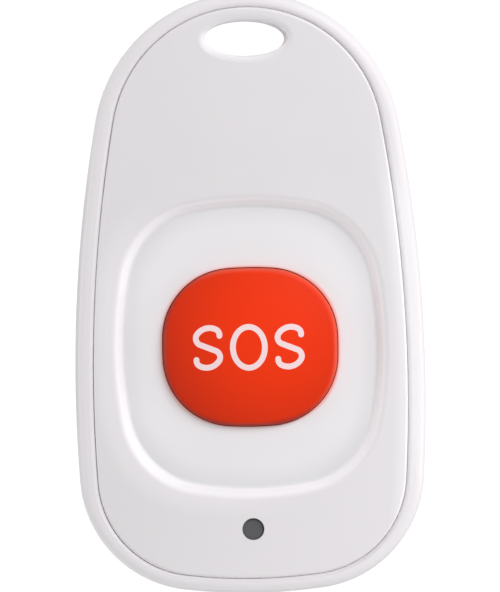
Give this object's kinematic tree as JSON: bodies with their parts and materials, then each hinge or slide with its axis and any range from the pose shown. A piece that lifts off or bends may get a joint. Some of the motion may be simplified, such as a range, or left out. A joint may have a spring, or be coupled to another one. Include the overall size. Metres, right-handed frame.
{
  "type": "wireless panic button",
  "caption": "Pendant-sized wireless panic button: rounded white case with a lanyard hole, a domed red key in a shallow recess, an indicator window and a coin-turned battery door.",
  "frame": {"origin": "centre of the footprint on the resting back face, with the object lying on its back", "axes": "+Z out of the face with the key, +Y towards the lanyard hole, +X to the right as the key is looked at"},
  "size_m": [0.042, 0.072, 0.015],
  "materials": {
    "white_housing": "fine satin moulded texture",
    "key_plastic": "satin moulded, softly domed",
    "legend_plastic": "satin second-shot inlay",
    "smoked_plastic": "smoked, flat polished face",
    "silicone": "matte silicone",
    "seal_rubber": "matte rubber",
    "inner_plastic": "satin moulded",
    "board_laminate": "solder-masked laminate",
    "steel": "plated",
    "cell_steel": "nickel-plated can",
    "contact_metal": "plated spring strip",
    "copper_wire": "enamelled wire",
    "chip_resin": "moulded resin",
    "capacitor_ceramic": "ceramic",
    "led_resin": "clear resin over phosphor"
  },
  "bodies": {
    "housing": {"front_cover": "white_housing", "rear_cover": "white_housing", "perimeter_seal": "seal_rubber", "key_membrane": "silicone", "membrane_frame": "inner_plastic", "light_pipe": "smoked_plastic", "coin_cell": "cell_steel", "positive_contact": "contact_metal", "negative_contact": "contact_metal", "circuit_board": "board_laminate", "case_screws": "steel", "board_screws": "steel", "switch_body": "chip_resin", "switch_lid": "steel", "switch_dome": "contact_metal", "switch_terminals": "contact_metal", "antenna_coil": "copper_wire", "radio_chip": "chip_resin", "crystal": "steel", "led_chip": "led_resin", "chip_capacitors": "capacitor_ceramic", "chip_resistors": "chip_resin"},
    "key": {"key_cap": "key_plastic", "key_legend": "legend_plastic"},
    "switch_stem": {"switch_stem": "inner_plastic"},
    "battery_door": {"battery_door": "white_housing", "door_seal": "seal_rubber"}
  },
  "joints": [
    {"name": "key_press", "type": "slide", "parent": "housing", "child": "key", "axis": [0, 0, -1], "range_m": [0, 0.0004], "stiffness_N_per_m": 4000, "springref_m": -0.0002, "deforming": ["key_membrane"]},
    {"name": "switch_press", "type": "slide", "parent": "housing", "child": "switch_stem", "axis": [0, 0, -1], "range_m": [0, 0.0004], "deforming": ["switch_dome"]},
    {"name": "battery_door_turn", "type": "hinge", "parent": "housing", "child": "battery_door", "pos_m": [0, -0.0065, 0.001], "axis": [0, 0, -1], "range_deg": [0, 35]}
  ],
  "couplings": [
    {"joint": "switch_press", "follows": "key_press", "ratio": 1}
  ]
}
